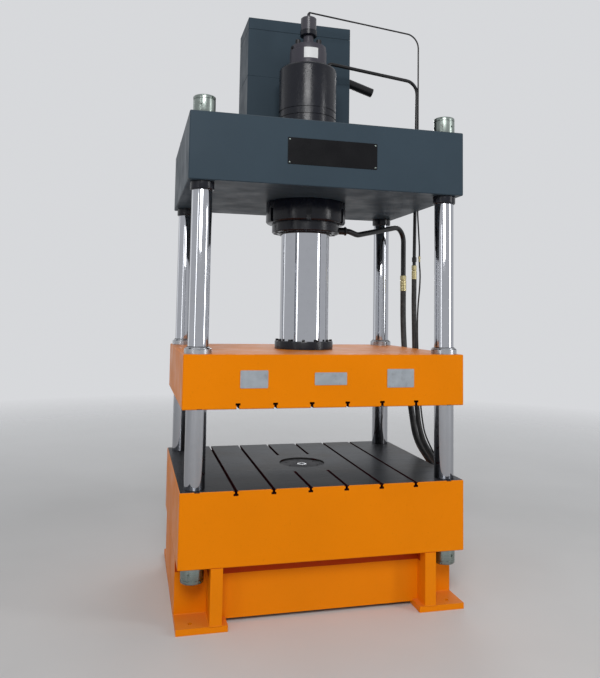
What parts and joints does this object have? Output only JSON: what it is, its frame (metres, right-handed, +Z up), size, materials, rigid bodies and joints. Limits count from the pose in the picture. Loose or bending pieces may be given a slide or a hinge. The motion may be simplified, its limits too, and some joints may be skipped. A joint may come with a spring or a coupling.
{
  "type": "hydraulic press",
  "caption": "Column-guided hydraulic press with a plate crown, top cylinder and oil tank, sliding beam and T-slotted bed.",
  "frame": {"origin": "on the floor under the middle of the press, its pipes and plates counted and its hoses left out", "axes": "+Z up along the ram, +Y from the front to the back, +X to the right as seen from the front"},
  "size_m": [1.676, 1.1324, 3.41],
  "materials": {
    "orange_paint": "semi-gloss",
    "grey_paint": "semi-gloss",
    "black_paint": "gloss",
    "valve_paint": "satin",
    "hard_chrome": "polished",
    "zinc_plate": "zinc plated",
    "ground_steel": "ground",
    "yellow_zinc": "yellow zinc",
    "hose_rubber": "matt",
    "label_silver": "satin"
  },
  "bodies": {
    "frame": {"base_frame": "orange_paint", "bed": "orange_paint", "bottom_nut_front_left": "zinc_plate", "bottom_nut_front_right": "zinc_plate", "bottom_nut_rear_left": "zinc_plate", "bottom_nut_rear_right": "zinc_plate", "column_front_left": "hard_chrome", "column_front_right": "hard_chrome", "column_rear_left": "hard_chrome", "column_rear_right": "hard_chrome", "crown": "grey_paint", "crown_nameplate": "black_paint", "cylinder_gland": "black_paint", "cylinder_lock_nut": "black_paint", "ejector_cylinder": "black_paint", "ejector_gland": "black_paint", "ejector_plate": "ground_steel", "lock_collar_front_left": "black_paint", "lock_collar_front_right": "black_paint", "lock_collar_rear_left": "black_paint", "lock_collar_rear_right": "black_paint", "main_cylinder": "black_paint", "oil_tank": "grey_paint", "oil_tank_lid": "grey_paint", "pilot_cylinder": "black_paint", "pilot_fitting": "yellow_zinc", "pilot_hose": "hose_rubber", "pilot_hose_connector": "yellow_zinc", "pilot_tube": "black_paint", "pipe_clamp": "black_paint", "prefill_valve": "valve_paint", "pressure_fitting": "yellow_zinc", "pressure_hose": "hose_rubber", "pressure_hose_connector": "yellow_zinc", "pressure_pipe": "black_paint", "pressure_port": "black_paint", "return_fitting": "yellow_zinc", "return_hose": "hose_rubber", "return_hose_connector": "yellow_zinc", "return_pipe": "black_paint", "return_port": "black_paint", "suction_pipe": "black_paint", "tank_stub_pipe": "black_paint", "top_nut_front_left": "zinc_plate", "top_nut_front_right": "zinc_plate", "top_nut_rear_left": "zinc_plate", "top_nut_rear_right": "zinc_plate"},
    "slide": {"slide": "orange_paint", "ram": "hard_chrome", "ram_clamp_front": "black_paint", "ram_clamp_rear": "black_paint", "slide_label_left": "label_silver", "slide_label_middle": "label_silver", "slide_label_right": "label_silver", "guide_bush_front_left": "ground_steel", "guide_bush_front_right": "ground_steel", "guide_bush_rear_right": "ground_steel", "guide_bush_rear_left": "ground_steel"},
    "ejector": {"ejector_rod": "hard_chrome"}
  },
  "joints": [
    {"name": "slide_travel", "type": "slide", "parent": "frame", "child": "slide", "axis": [0, 0, 1], "range_m": [0, 0.6]},
    {"name": "ejector_travel", "type": "slide", "parent": "frame", "child": "ejector", "axis": [0, 0, 1], "range_m": [0, 0.14]}
  ]
}
